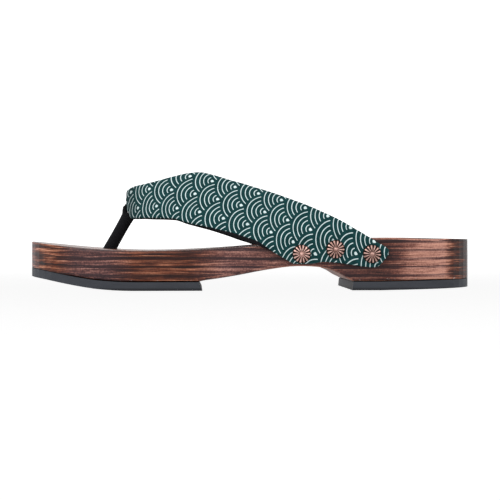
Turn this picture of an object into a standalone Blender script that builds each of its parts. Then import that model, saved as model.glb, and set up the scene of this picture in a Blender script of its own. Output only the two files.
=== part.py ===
"""A wooden geta sandal with rubber soles and a wide cloth strap nailed to its sides.

The toe points to -X and the heel to +X, the floor is z = 0, and the sandal is the same on both
sides of the plane y = 0. All sizes are in metres.
"""

import math

import bmesh
import bpy
from mathutils import Matrix, Vector

# Base, seen from above
LENGTH = 0.260
FOREFOOT_WIDTH = 0.098
HEEL_WIDTH = 0.086
TOE_ROUNDING = 0.050          # length over which the plan closes to the toe tip
HEEL_ROUNDING = 0.045
TOE_SQUARENESS = 2.3          # exponent of the rounding: 2 is an ellipse
HEEL_SQUARENESS = 2.5
WIDEST_FROM_TOE = 0.055       # the plan keeps its forefoot width up to here
HEEL_WIDTH_FROM_END = 0.060   # and its heel width from here on

# Base, seen from the side
TOE_HEIGHT = 0.0279           # footbed at the toe tip
BALL_HEIGHT = 0.0227          # footbed at its lowest
HEEL_HEIGHT = 0.0303          # footbed at its highest
HEEL_END_DROP = 0.0010
BALL_FROM_TOE = 0.068
HEEL_TOP_FROM_TOE = 0.215
TOE_CURVE = 1.7               # exponent of the footbed's rise to the toe
RIM_RADIUS = 0.0018

# Rubber soles
SOLE_THICKNESS = 0.0049
SOLE_EDGE_RADIUS = 0.0008
TOE_SPRING = 0.0077           # height of the sole's underside at the toe tip
TOE_SPRING_LENGTH = 0.062
FOREFOOT_SOLE_LENGTH = 0.0988
SOLE_END_SLANT = 0.0022       # the forefoot sole is this much longer at the floor
HEEL_SOLE_SLANT = 0.0005
HEEL_LIFT = 0.0013            # height of the sole's underside at the heel end
HEEL_FLAT_LENGTH = 0.016

# Arch between the two soles
ARCH_LENGTH = 0.0888
ARCH_RISE = 0.0087

# Pieces that meet keep this gap, and blanks are larger than what is sawn out of them
FIT_GAP = 0.0003
OVERHANG = 0.010

# Strap
STRAP_FROM_TOE = 0.0554
STRAP_LENGTH = 0.1519
STRAP_PEAK_HEIGHT = 0.0690
STRAP_WALL = 0.0034
STRAP_EDGE_RADIUS = 0.0009
STRAP_NOSE = 0.0050           # length of the rounding round the toe post
STRAP_TIP = 0.0100            # length over which the two ends round off
BEND_ABOVE_RIM = 0.0012       # the strap leans inwards from this height over the footbed

# Toe post and the flat loop that holds the strap's front
POST_DIAMETER = 0.0070
POST_FROM_TOE = 0.0454        # where it leaves the footbed
POST_BEND = 0.0030
POST_REACH = 0.0022           # its centre line ends this far below the loop's hole
LOOP_THICKNESS = 0.0017
LOOP_WIDTH = 0.0050
LOOP_TOP = 0.0515
LOOP_FOOT_HEIGHT = 0.0034     # solid foot of the loop, under its hole
LOOP_CORNER_RADIUS = 0.0012
LOOP_HOLE_RADIUS = 0.0003
LOOP_INNER_GAP = 0.0009       # the strap's front wall is curved, the loop is straight

# Nails with flower-shaped heads
STUD_DIAMETER = 0.0100
STUD_HEIGHT = 0.0021
STUD_RIM_HEIGHT = 0.0007
STUD_BOSS_DIAMETER = 0.0026
STUD_GROOVE_DEPTH = 0.0006
STUD_SCALLOP_DEPTH = 0.0002   # the rim's dent between two petals
STUD_PETALS = 14
NAIL_DIAMETER = 0.0018
NAIL_LENGTH = 0.0140
NAIL_POINT = 0.0028

# Toe spring: share of its length from the ball on, share of its height
TOE_SPRING_CURVE = [
    (0.00, 0.00),
    (0.12, 0.02),
    (0.24, 0.08),
    (0.36, 0.17),
    (0.46, 0.29),
    (0.60, 0.48),
    (0.74, 0.69),
    (0.86, 0.86),
    (1.00, 1.00),
]

# Arch: share of its length from the forefoot sole on, share of its rise
ARCH_CURVE = [
    (0.000, 0.00),
    (0.050, 0.10),
    (0.110, 0.18),
    (0.250, 0.41),
    (0.400, 0.70),
    (0.500, 0.86),
    (0.600, 0.98),
    (0.660, 1.00),
    (0.715, 0.985),
    (0.775, 0.94),
    (0.828, 0.845),
    (0.880, 0.665),
    (0.925, 0.435),
    (0.965, 0.165),
    (1.000, 0.00),
]

# Strap sections, front to back: share of the strap's length, lower and upper edge as shares of
# its peak height, their distance from the middle as shares of the distance of its ends, and how
# softly the section bends
STRAP_SECTIONS = [
    # along, low, high, low_spread, high_spread, softness
    (0.0000, 0.665, 0.836, 0.175, 0.095, 0.60),
    (0.0053, 0.663, 0.845, 0.180, 0.096, 0.60),
    (0.0119, 0.632, 0.855, 0.192, 0.099, 0.60),
    (0.0211, 0.599, 0.866, 0.222, 0.104, 0.60),
    (0.0376, 0.602, 0.881, 0.285, 0.118, 0.60),
    (0.0805, 0.607, 0.905, 0.410, 0.175, 0.60),
    (0.1330, 0.607, 0.934, 0.520, 0.248, 0.60),
    (0.1860, 0.602, 0.965, 0.618, 0.308, 0.60),
    (0.2390, 0.566, 0.990, 0.722, 0.348, 0.55),
    (0.2920, 0.536, 1.000, 0.812, 0.378, 0.50),
    (0.3450, 0.506, 0.975, 0.884, 0.422, 0.40),
    (0.4106, 0.459, 0.929, 0.944, 0.490, 0.30),
    (0.4630, 0.414, 0.894, 0.978, 0.560, 0.20),
    (0.5000, 0.382, 0.866, 0.998, 0.614, 0.20),
    (0.5280, 0.354, 0.847, 1.004, 0.655, 0.18),
    (0.5560, 0.328, 0.827, 1.000, 0.690, 0.14),
    (0.6086, 0.265, 0.785, 1.000, 0.757, 0.14),
    (0.6480, 0.223, 0.752, 1.000, 0.805, 0.14),
    (0.7076, 0.222, 0.697, 1.000, 0.873, 0.16),
    (0.7540, 0.238, 0.649, 1.000, 0.918, 0.20),
    (0.8130, 0.230, 0.587, 1.000, 0.960, 0.25),
    (0.8660, 0.213, 0.516, 1.000, 0.990, 0.30),
    (0.9056, 0.200, 0.463, 1.000, 1.000, 0.30),
    (0.9420, 0.193, 0.414, 1.000, 1.000, 0.30),
    (0.9617, 0.201, 0.386, 1.000, 1.000, 0.30),
    (0.9780, 0.236, 0.368, 1.000, 1.000, 0.30),
    (0.9914, 0.272, 0.349, 1.000, 1.000, 0.30),
    (1.0000, 0.299, 0.332, 1.000, 1.000, 0.30),
]

# Nails: share of the strap's length, share of the footbed's height there
STUD_PLACES = [
    # along, up
    (0.672, 0.757),
    (0.800, 0.811),
    (0.938, 0.696),
]

# Top of a nail's head: share of the boss's radius, share of the dome's height
BOSS_PROFILE = [
    (0.0, 1.00),
    (0.7, 0.94),
    (1.0, 0.72),
]

# Petals: share of the way from the boss to the rim, share of the dome's height
PETAL_PROFILE = [
    (0.09, 0.62),
    (0.48, 0.62),
    (0.84, 0.36),
    (1.00, 0.00),
]

# Fineness of the meshes
PLAN_END_STEPS = 12
PLAN_SIDE_STEPS = 8
PROFILE_STEPS = 30
ARCH_STEPS = 22
TOE_SPRING_STEPS = 11
NOSE_STEPS = 6
TIP_STEPS = 5
POST_BEND_STEPS = 4
STRAP_STEPS = 40
STRAP_ROWS = 9
RIM_SEGMENTS = 2
LOOP_CORNER_STEPS = 3
HOLE_SIDES = 12
CORD_SIDES_LEVEL = 4          # bevel resolution of the cord
SHARP_ANGLE = math.radians(35)
EDGE_ANGLE = math.radians(50)
MERGE_DISTANCE = 1e-6

# An edge gets rounded where one face is this level, and the other at most this level
FLAT = 0.9
STEEP = 0.2

TOE_TIP = -LENGTH / 2
HEEL_TIP = LENGTH / 2
FOREFOOT_SOLE_END = TOE_TIP + FOREFOOT_SOLE_LENGTH
HEEL_SOLE_START = FOREFOOT_SOLE_END + ARCH_LENGTH
STRAP_FRONT = TOE_TIP + STRAP_FROM_TOE


def clamp(value):
    """The value, kept between 0 and 1."""
    return min(1.0, max(0.0, value))


def smooth_step(value):
    """An even S-curve from 0 to 1."""
    share = clamp(value)
    return share * share * (3.0 - 2.0 * share)


def read_curve(rows, column, at):
    """A column of a table between its rows, on a smooth curve that never overshoots them."""
    at = min(rows[-1][0], max(rows[0][0], at))
    index = 0
    while index < len(rows) - 2 and at > rows[index + 1][0]:
        index += 1

    def slope(left):
        run = rows[left + 1][0] - rows[left][0]
        return (rows[left + 1][column] - rows[left][column]) / run

    def tangent(row):
        if row == 0:
            return slope(0)
        if row == len(rows) - 1:
            return slope(len(rows) - 2)
        before, after = slope(row - 1), slope(row)
        if before * after <= 0.0:
            return 0.0
        return 2.0 * before * after / (before + after)

    run = rows[index + 1][0] - rows[index][0]
    t = (at - rows[index][0]) / run
    low, high = rows[index][column], rows[index + 1][column]
    from_low = (2 * t ** 3 - 3 * t ** 2 + 1) * low + (t ** 3 - 2 * t ** 2 + t) * run * tangent(index)
    to_high = (3 * t ** 2 - 2 * t ** 3) * high + (t ** 3 - t ** 2) * run * tangent(index + 1)
    return from_low + to_high


def half_width(x):
    """Half the base's width at x."""
    start = TOE_TIP + WIDEST_FROM_TOE
    end = HEEL_TIP - HEEL_WIDTH_FROM_END
    blend = smooth_step((x - start) / (end - start))
    side = (FOREFOOT_WIDTH + (HEEL_WIDTH - FOREFOOT_WIDTH) * blend) / 2
    toe = clamp((TOE_TIP + TOE_ROUNDING - x) / TOE_ROUNDING)
    heel = clamp((x - HEEL_TIP + HEEL_ROUNDING) / HEEL_ROUNDING)
    side *= (1.0 - toe ** TOE_SQUARENESS) ** (1.0 / TOE_SQUARENESS)
    return side * (1.0 - heel ** HEEL_SQUARENESS) ** (1.0 / HEEL_SQUARENESS)


def footbed_height(x):
    """Height of the footbed's surface at x."""
    ball = TOE_TIP + BALL_FROM_TOE
    heel_top = TOE_TIP + HEEL_TOP_FROM_TOE
    toe_rise = clamp((ball - x) / BALL_FROM_TOE) ** TOE_CURVE * (TOE_HEIGHT - BALL_HEIGHT)
    heel_rise = smooth_step((x - ball) / (heel_top - ball)) * (HEEL_HEIGHT - BALL_HEIGHT)
    end_drop = clamp((x - heel_top) / (HEEL_TIP - heel_top)) * HEEL_END_DROP
    return BALL_HEIGHT + toe_rise + heel_rise - end_drop


def sole_bottom(x):
    """Height of the rubber soles' underside at x."""
    if x < 0.0:
        spring = (TOE_TIP + TOE_SPRING_LENGTH - x) / TOE_SPRING_LENGTH
        return TOE_SPRING * read_curve(TOE_SPRING_CURVE, 1, spring)
    flat_end = HEEL_SOLE_START + HEEL_FLAT_LENGTH
    return HEEL_LIFT * clamp((x - flat_end) / (HEEL_TIP - flat_end))


def wood_bottom(x):
    """Height of the wood's underside at x: over the soles, or in the arch between them."""
    seat = SOLE_THICKNESS + FIT_GAP
    if FOREFOOT_SOLE_END < x < HEEL_SOLE_START:
        share = (x - FOREFOOT_SOLE_END) / ARCH_LENGTH
        return seat + ARCH_RISE * read_curve(ARCH_CURVE, 1, share)
    return sole_bottom(x) + seat


def steps_between(start, end, count):
    """Evenly spaced values from start to end, both included."""
    return [start + (end - start) * index / count for index in range(count + 1)]


# Scene and materials

def clear_scene():
    """Empty the scene."""
    for old in list(bpy.data.objects):
        bpy.data.objects.remove(old, do_unlink=True)


def make_collection(name):
    """A collection in the scene."""
    collection = bpy.data.collections.new(name)
    bpy.context.scene.collection.children.link(collection)
    return collection


def make_material(name, color, roughness, metallic=0.0):
    """A plain shader of one colour."""
    material = bpy.data.materials.new(name)
    material.use_nodes = True
    shader = material.node_tree.nodes["Principled BSDF"]
    shader.inputs["Base Color"].default_value = (*color, 1.0)
    shader.inputs["Roughness"].default_value = roughness
    shader.inputs["Metallic"].default_value = metallic
    material.diffuse_color = (*color, 1.0)
    return material


# Tools for shaping

def add_object(name, data, collection, material=None):
    """An object of its own in a collection."""
    made = bpy.data.objects.new(name, data)
    collection.objects.link(made)
    if material is not None:
        data.materials.append(material)
    return made


def mark_cutter(cutter):
    """Show an object only as a guide."""
    cutter.hide_render = True
    cutter.display_type = "WIRE"


def to_mesh(source, name, collection, material=None):
    """Turn what an object evaluates to into a mesh object, and remove the source."""
    bpy.context.view_layer.update()
    depsgraph = bpy.context.evaluated_depsgraph_get()
    mesh = bpy.data.meshes.new_from_object(source.evaluated_get(depsgraph))
    mesh.materials.clear()
    made = add_object(name, mesh, collection, material)
    made.matrix_world = source.matrix_world.copy()
    bpy.data.objects.remove(source, do_unlink=True)
    edit = bmesh.new()
    edit.from_mesh(mesh)
    bmesh.ops.remove_doubles(edit, verts=edit.verts, dist=MERGE_DISTANCE)
    edit.to_mesh(mesh)
    edit.free()
    return made


def flat_blank(name, outlines, thickness, collection):
    """A board of some thickness, cut to closed outlines; an outline inside another is a hole."""
    curve = bpy.data.curves.new(name, "CURVE")
    curve.dimensions = "2D"
    curve.fill_mode = "BOTH"
    curve.extrude = thickness / 2
    for outline in outlines:
        spline = curve.splines.new("POLY")
        spline.points.add(len(outline) - 1)
        for point, (across, up) in zip(spline.points, outline):
            point.co = (across, up, 0.0, 1.0)
        spline.use_cyclic_u = True
    return add_object(name, curve, collection)


def stand_up(board):
    """Turn a board drawn in x and z up from the floor, its thickness along y."""
    board.rotation_euler = (math.pi / 2, 0.0, 0.0)


def round_tube(name, route, diameter, collection):
    """A round cord along a route."""
    curve = bpy.data.curves.new(name, "CURVE")
    curve.dimensions = "3D"
    curve.bevel_depth = diameter / 2
    curve.bevel_resolution = CORD_SIDES_LEVEL
    curve.use_fill_caps = True
    spline = curve.splines.new("POLY")
    spline.points.add(len(route) - 1)
    for point, place in zip(spline.points, route):
        point.co = (*place, 1.0)
    return add_object(name, curve, collection)


def cut(target, cutter, operation="DIFFERENCE"):
    """Cut, join or keep the common part of two solids."""
    modifier = target.modifiers.new(f"{operation.lower()} {cutter.name}", "BOOLEAN")
    modifier.operation = operation
    modifier.object = cutter
    modifier.solver = "EXACT"


def round_edges(target, radius, chosen):
    """Round the edges of a mesh for which chosen(edge) is true."""
    edit = bmesh.new()
    edit.from_mesh(target.data)
    edit.normal_update()
    edges = [edge for edge in edit.edges if len(edge.link_faces) == 2 and chosen(edge)]
    bmesh.ops.bevel(
        edit, geom=edges, offset=radius, segments=RIM_SEGMENTS, profile=0.5, affect="EDGES"
    )
    edit.to_mesh(target.data)
    edit.free()


def shade_round(target):
    """Shade smooth, with sharp edges kept."""
    target.data.shade_smooth()
    target.data.set_sharp_from_angle(angle=SHARP_ANGLE)


# Base and rubber soles, sawn to one plan

def plan_outline():
    """The base's outline from above, round by the toe and the heel."""
    quarter = math.pi / 2
    toe = [TOE_TIP + TOE_ROUNDING * (1 - math.cos(a)) for a in steps_between(0, quarter, PLAN_END_STEPS)]
    heel = [HEEL_TIP - HEEL_ROUNDING * (1 - math.cos(a)) for a in steps_between(quarter, 0, PLAN_END_STEPS)]
    side = steps_between(toe[-1], heel[0], PLAN_SIDE_STEPS)
    stations = toe + side[1:-1] + heel
    near = [(x, -half_width(x)) for x in stations]
    far = [(x, -y) for x, y in reversed(near[1:-1])]
    return near + far


def make_plan_cutter(cutters):
    """A tall prism of the base's plan, to saw boards with."""
    height = 2 * (HEEL_HEIGHT + OVERHANG)
    board = flat_blank("plan", [plan_outline()], height, cutters)
    cutter = to_mesh(board, "plan_cutter", cutters)
    mark_cutter(cutter)
    return cutter


def sawn_board(name, side_outline, plan_cutter, parts, material):
    """A board sawn to an outline from the side, and then to the plan."""
    width = FOREFOOT_WIDTH + 2 * OVERHANG
    board = flat_blank(name + "_board", [side_outline], width, parts)
    stand_up(board)
    board = to_mesh(board, name + "_blank", parts)
    cut(board, plan_cutter, "INTERSECT")
    return to_mesh(board, name, parts, material)


def make_base(plan_cutter, parts, material):
    """The wooden body: hollowed footbed, toe spring, arch and heel block."""
    top = [(x, footbed_height(x)) for x in steps_between(TOE_TIP, HEEL_TIP, PROFILE_STEPS)]
    top = [(TOE_TIP - OVERHANG, TOE_HEIGHT)] + top + [(HEEL_TIP + OVERHANG, footbed_height(HEEL_TIP))]
    ball = TOE_TIP + TOE_SPRING_LENGTH
    arch = steps_between(HEEL_SOLE_START, FOREFOOT_SOLE_END, ARCH_STEPS)
    toe = steps_between(ball, TOE_TIP, TOE_SPRING_STEPS)
    flat_end = HEEL_SOLE_START + HEEL_FLAT_LENGTH
    stations = [HEEL_TIP, flat_end] + arch + toe
    bottom = [(HEEL_TIP + OVERHANG, wood_bottom(HEEL_TIP))]
    bottom += [(x, wood_bottom(x)) for x in stations]
    bottom += [(TOE_TIP - OVERHANG, wood_bottom(TOE_TIP))]
    base = sawn_board("base", top + bottom, plan_cutter, parts, material)

    def on_rim(edge):
        ups = sorted(face.normal.z for face in edge.link_faces)
        return ups[0] < STEEP and ups[1] > FLAT

    round_edges(base, RIM_RADIUS, on_rim)
    return base


def sole_edge(edge):
    """True for an edge of a sole that meets the floor side."""
    downs = sorted(-face.normal.z for face in edge.link_faces)
    return downs[0] < STEEP and downs[1] > FLAT


def make_forefoot_sole(plan_cutter, parts, material):
    """The rubber sheet under the forefoot, following the toe spring."""
    toe = steps_between(TOE_TIP, TOE_TIP + TOE_SPRING_LENGTH, TOE_SPRING_STEPS)
    bottom = [(TOE_TIP - OVERHANG, sole_bottom(TOE_TIP))] + [(x, sole_bottom(x)) for x in toe]
    top = [(x, z + SOLE_THICKNESS) for x, z in reversed(bottom)]
    end = [(FOREFOOT_SOLE_END + SOLE_END_SLANT, 0.0), (FOREFOOT_SOLE_END, SOLE_THICKNESS)]
    sole = sawn_board("forefoot_sole", bottom + end + top, plan_cutter, parts, material)
    round_edges(sole, SOLE_EDGE_RADIUS, sole_edge)
    return sole


def make_heel_sole(plan_cutter, parts, material):
    """The rubber piece under the heel block."""
    stations = [HEEL_SOLE_START, HEEL_SOLE_START + HEEL_FLAT_LENGTH, HEEL_TIP, HEEL_TIP + OVERHANG]
    bottom = [(x, sole_bottom(x)) for x in stations]
    top = [(x, z + SOLE_THICKNESS) for x, z in reversed(bottom)]
    bottom[0] = (HEEL_SOLE_START - HEEL_SOLE_SLANT, 0.0)
    sole = sawn_board("heel_sole", bottom + top, plan_cutter, parts, material)
    round_edges(sole, SOLE_EDGE_RADIUS, sole_edge)
    return sole


# Strap

def strap_side(x):
    """Distance from the middle to the outside of the strap where it lies on the base's side."""
    return half_width(x) + FIT_GAP + STRAP_WALL


def strap_point(x, share):
    """A point of the strap's outside, share 0 on its lower edge and 1 on its upper edge."""
    along = (x - STRAP_FRONT) / STRAP_LENGTH
    low, high, low_spread, high_spread, soft = [
        read_curve(STRAP_SECTIONS, column, along) for column in range(1, 6)
    ]
    low_z = low * STRAP_PEAK_HEIGHT
    high_z = high * STRAP_PEAK_HEIGHT
    z = low_z + (high_z - low_z) * share
    bend = footbed_height(x) + BEND_ABOVE_RIM
    reach = max(high_z - bend, STRAP_WALL)

    def lean(height):
        up = max(0.0, (height - bend) / reach)
        return math.hypot(up, soft) - soft

    leaning = 0.0
    if lean(high_z) > lean(low_z):
        leaning = (lean(z) - lean(low_z)) / (lean(high_z) - lean(low_z))
    spread = strap_side(x) * (low_spread + (high_spread - low_spread) * leaning)
    nose = clamp((x - STRAP_FRONT) / STRAP_NOSE)
    return Vector((x, -spread * math.sqrt(1.0 - (1.0 - nose) ** 2), z))


def strap_stations():
    """Places along the strap, closer together round its nose and at its rounded ends."""
    quarter = math.pi / 2
    nose = [STRAP_FRONT + STRAP_NOSE * (1 - math.cos(a)) for a in steps_between(0, quarter, NOSE_STEPS)]
    end = STRAP_FRONT + STRAP_LENGTH
    band = steps_between(nose[-1], end - STRAP_TIP, STRAP_STEPS)
    tip = [end - STRAP_TIP * (1 - math.sin(a)) for a in steps_between(0, quarter, TIP_STEPS)]
    return nose + band[1:] + tip[1:]


def make_strap(parts, material):
    """The outside of one half of the strap as a sheet, mirrored and given its wall."""
    stations = strap_stations()
    edit = bmesh.new()
    rows = [
        [edit.verts.new(strap_point(x, row / STRAP_ROWS)) for row in range(STRAP_ROWS + 1)]
        for x in stations
    ]
    for here, there in zip(rows, rows[1:]):
        for row in range(STRAP_ROWS):
            edit.faces.new((here[row], there[row], there[row + 1], here[row + 1]))
    mesh = bpy.data.meshes.new("strap")
    edit.to_mesh(mesh)
    edit.free()
    strap = add_object("strap", mesh, parts, material)

    mirror = strap.modifiers.new("far half", "MIRROR")
    mirror.use_axis = (False, True, False)
    mirror.use_clip = True
    mirror.merge_threshold = MERGE_DISTANCE
    wall = strap.modifiers.new("wall", "SOLIDIFY")
    wall.thickness = STRAP_WALL
    wall.offset = -1.0
    wall.use_even_offset = True
    edges = strap.modifiers.new("edges", "BEVEL")
    edges.width = STRAP_EDGE_RADIUS
    edges.segments = RIM_SEGMENTS
    edges.limit_method = "ANGLE"
    edges.angle_limit = EDGE_ANGLE
    return strap


# Toe post

def loop_sizes():
    """Front, back, foot and top of the flat loop round the strap's front wall."""
    front = STRAP_FRONT - FIT_GAP - LOOP_THICKNESS
    back = STRAP_FRONT + STRAP_WALL + LOOP_INNER_GAP + LOOP_THICKNESS
    hole_bottom = strap_point(STRAP_FRONT, 0.0).z - FIT_GAP
    return front, back, hole_bottom, LOOP_TOP


def rounded_rectangle(left, right, low, high, radius):
    """A rectangle with round corners, as points."""
    corners = [(right, low, -90), (right, high, 0), (left, high, 90), (left, low, 180)]
    points = []
    for x, z, start in corners:
        middle_x = x - math.copysign(radius, x - (left + right) / 2)
        middle_z = z - math.copysign(radius, z - (low + high) / 2)
        for turn in steps_between(start, start + 90, LOOP_CORNER_STEPS):
            angle = math.radians(turn)
            points.append((middle_x + radius * math.cos(angle), middle_z + radius * math.sin(angle)))
    return points


def post_route():
    """The post's centre line: up out of the base, then leaning back to the loop's foot."""
    front, back, hole_bottom, _ = loop_sizes()
    x = TOE_TIP + POST_FROM_TOE
    surface = footbed_height(x)
    foot = Vector((x, 0.0, sole_bottom(x) + SOLE_THICKNESS + 2 * FIT_GAP))
    top = Vector(((front + back) / 2, 0.0, hole_bottom - POST_REACH))
    bend = Vector((x, 0.0, surface))
    lean = (top - bend).normalized()
    below = bend - Vector((0.0, 0.0, POST_BEND))
    above = bend + lean * POST_BEND
    route = [foot]
    for share in steps_between(0.0, 1.0, POST_BEND_STEPS):
        route.append(below.lerp(bend, share).lerp(bend.lerp(above, share), share))
    return route + [top]


def make_toe_post(parts, material):
    """The cord and its loop in one piece."""
    front, back, hole_bottom, top = loop_sizes()
    outer = rounded_rectangle(front, back, hole_bottom - LOOP_FOOT_HEIGHT, top, LOOP_CORNER_RADIUS)
    hole = rounded_rectangle(
        front + LOOP_THICKNESS, back - LOOP_THICKNESS, hole_bottom, top - LOOP_THICKNESS,
        LOOP_HOLE_RADIUS,
    )
    board = flat_blank("loop_board", [outer, hole], LOOP_WIDTH, parts)
    stand_up(board)
    loop = to_mesh(board, "loop_blank", parts)
    cord = round_tube("cord", post_route(), POST_DIAMETER, parts)
    cord = to_mesh(cord, "cord_blank", parts)
    cut(cord, loop, "UNION")
    post = to_mesh(cord, "toe_post", parts, material)
    bpy.data.objects.remove(loop, do_unlink=True)
    return post


def make_post_hole(cutters):
    """The hole in the base that the cord goes through."""
    route = post_route()
    route[0] = route[0] - Vector((0.0, 0.0, SOLE_THICKNESS))
    tube = round_tube("post_hole_tube", route, POST_DIAMETER + 2 * FIT_GAP, cutters)
    cutter = to_mesh(tube, "post_hole_cutter", cutters)
    mark_cutter(cutter)
    return cutter


def make_loop_slot(cutters):
    """The slit in the strap's front wall that the loop goes through."""
    front, back, _, top = loop_sizes()
    bpy.ops.mesh.primitive_cube_add(size=1.0)
    cutter = bpy.context.object
    cutter.name = "loop_slot_cutter"
    cutter.location = ((front + back) / 2, 0.0, top - LOOP_THICKNESS / 2)
    cutter.scale = (
        back - front + STRAP_WALL,
        LOOP_WIDTH + 2 * FIT_GAP,
        LOOP_THICKNESS + 2 * FIT_GAP,
    )
    for owner in list(cutter.users_collection):
        owner.objects.unlink(cutter)
    cutters.objects.link(cutter)
    mark_cutter(cutter)
    return cutter


# Nails

def stud_profile():
    """Half of a nail's outline, from the top of its head down its outside to its point."""
    rim = STUD_DIAMETER / 2
    boss = STUD_BOSS_DIAMETER / 2
    nail = NAIL_DIAMETER / 2
    dome = STUD_HEIGHT - STUD_RIM_HEIGHT
    head = [(boss * out, STUD_RIM_HEIGHT + dome * up) for out, up in BOSS_PROFILE]
    head += [(boss + (rim - boss) * out, STUD_RIM_HEIGHT + dome * up) for out, up in PETAL_PROFILE]
    shank = [(nail, 0.0), (nail, NAIL_POINT - NAIL_LENGTH), (0.0, -NAIL_LENGTH)]
    return head + [(rim, 0.0)] + shank


def make_stud_mesh(material, parts):
    """A turned nail whose head has grooves pressed in between its petals."""
    profile = stud_profile()
    line = bpy.data.meshes.new("stud_profile")
    points = [(radius, 0.0, z) for radius, z in profile]
    line.from_pydata(points, [(i, i + 1) for i in range(len(points) - 1)], [])
    turned = add_object("stud_profile", line, parts)
    screw = turned.modifiers.new("turned", "SCREW")
    screw.steps = STUD_PETALS * 2
    screw.render_steps = STUD_PETALS * 2
    screw.use_merge_vertices = True
    screw.merge_threshold = MERGE_DISTANCE
    stud = to_mesh(turned, "stud", parts, material)
    boss = STUD_BOSS_DIAMETER / 2
    for vertex in stud.data.vertices:
        radius = math.hypot(vertex.co.x, vertex.co.y)
        step = round(math.atan2(vertex.co.y, vertex.co.x) / math.pi * STUD_PETALS)
        if vertex.co.z <= MERGE_DISTANCE or radius <= boss + MERGE_DISTANCE or step % 2 == 0:
            continue
        vertex.co.z -= min(STUD_GROOVE_DEPTH, vertex.co.z / 2)
        vertex.co.x *= 1.0 - STUD_SCALLOP_DEPTH / radius
        vertex.co.y *= 1.0 - STUD_SCALLOP_DEPTH / radius
    return stud


def stud_frame(along, up, side):
    """Where a nail's head sits on the strap, its own +Z pointing out of the base's side."""
    x = STRAP_FRONT + along * STRAP_LENGTH
    step = STRAP_WALL
    turn = math.atan2(strap_side(x + step) - strap_side(x - step), 2 * step)
    outward = Vector((-math.sin(turn), -math.cos(turn), 0.0))
    place = Vector((x, -strap_side(x), up * footbed_height(x))) + outward * FIT_GAP
    if side > 0:
        outward.y = -outward.y
        place.y = -place.y
    frame = outward.to_track_quat("Z", "Y").to_matrix().to_4x4()
    return Matrix.Translation(place) @ frame


def make_studs(parts, cutters, material):
    """Three nails a side, and the holes that they make in the strap and the base."""
    pattern = make_stud_mesh(material, parts)
    studs = []
    holes = []
    for side, side_name in ((-1, "near"), (1, "far")):
        for number, (along, up) in enumerate(STUD_PLACES, start=1):
            frame = stud_frame(along, up, side)
            stud = add_object(f"stud_{side_name}_{number}", pattern.data.copy(), parts)
            stud.matrix_world = frame
            studs.append(stud)
            bpy.ops.mesh.primitive_cylinder_add(
                vertices=HOLE_SIDES, radius=NAIL_DIAMETER / 2 + FIT_GAP, depth=NAIL_LENGTH + 2 * OVERHANG
            )
            hole = bpy.context.object
            hole.name = f"nail_hole_{side_name}_{number}"
            hole.matrix_world = frame @ Matrix.Translation((0.0, 0.0, OVERHANG - NAIL_LENGTH / 2 - FIT_GAP))
            for owner in list(hole.users_collection):
                owner.objects.unlink(hole)
            cutters.objects.link(hole)
            mark_cutter(hole)
            holes.append(hole)
    bpy.data.objects.remove(pattern, do_unlink=True)
    return studs, holes


def build():
    """Put the sandal together."""
    clear_scene()
    parts = make_collection("geta_sandal")
    cutters = make_collection("cutters")
    wood = make_material("scorched_wood", (0.150, 0.062, 0.040), 0.55)
    rubber = make_material("slate_rubber", (0.050, 0.056, 0.068), 0.70)
    cloth = make_material("green_cloth", (0.012, 0.085, 0.085), 0.85)
    cord = make_material("black_cloth", (0.012, 0.012, 0.013), 0.85)
    copper = make_material("old_copper", (0.480, 0.200, 0.140), 0.38, 1.0)

    plan_cutter = make_plan_cutter(cutters)
    base = make_base(plan_cutter, parts, wood)
    soles = [make_forefoot_sole(plan_cutter, parts, rubber), make_heel_sole(plan_cutter, parts, rubber)]
    strap = make_strap(parts, cloth)
    post = make_toe_post(parts, cord)
    studs, holes = make_studs(parts, cutters, copper)

    cut(base, make_post_hole(cutters))
    cut(strap, make_loop_slot(cutters))
    for hole in holes:
        cut(base, hole)
        cut(strap, hole)
    for piece in [base, strap, post] + soles + studs:
        shade_round(piece)


build()
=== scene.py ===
"""Looks of a wooden geta sandal: scorched and brushed wood, slate rubber soles, a padded strap in
wave-fan cloth, a black toe post and copper flower-headed nails. All sizes are in metres."""

import math

import bpy
import numpy as np
from mathutils import Matrix, Vector


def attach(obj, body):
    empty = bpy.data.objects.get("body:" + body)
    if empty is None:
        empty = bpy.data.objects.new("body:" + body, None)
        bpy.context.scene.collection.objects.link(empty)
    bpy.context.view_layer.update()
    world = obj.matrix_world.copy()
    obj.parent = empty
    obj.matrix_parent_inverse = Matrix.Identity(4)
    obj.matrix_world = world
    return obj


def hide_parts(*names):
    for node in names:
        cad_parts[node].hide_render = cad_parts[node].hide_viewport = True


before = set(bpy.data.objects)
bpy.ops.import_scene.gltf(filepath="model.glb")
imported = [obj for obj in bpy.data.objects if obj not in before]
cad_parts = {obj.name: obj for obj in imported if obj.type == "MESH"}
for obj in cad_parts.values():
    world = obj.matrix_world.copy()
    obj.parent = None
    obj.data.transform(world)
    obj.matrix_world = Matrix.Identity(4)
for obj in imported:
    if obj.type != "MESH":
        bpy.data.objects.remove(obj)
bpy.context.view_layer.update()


# Base
# The body of the sandal, sawn and carved from one block of softwood. Its faces are scorched, brushed
# and waxed, so the hard late rings stand out dark and the soft wood between them shows brown and tan.
# Along the sides the colour also holds a painted sheen and painted shade.

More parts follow.
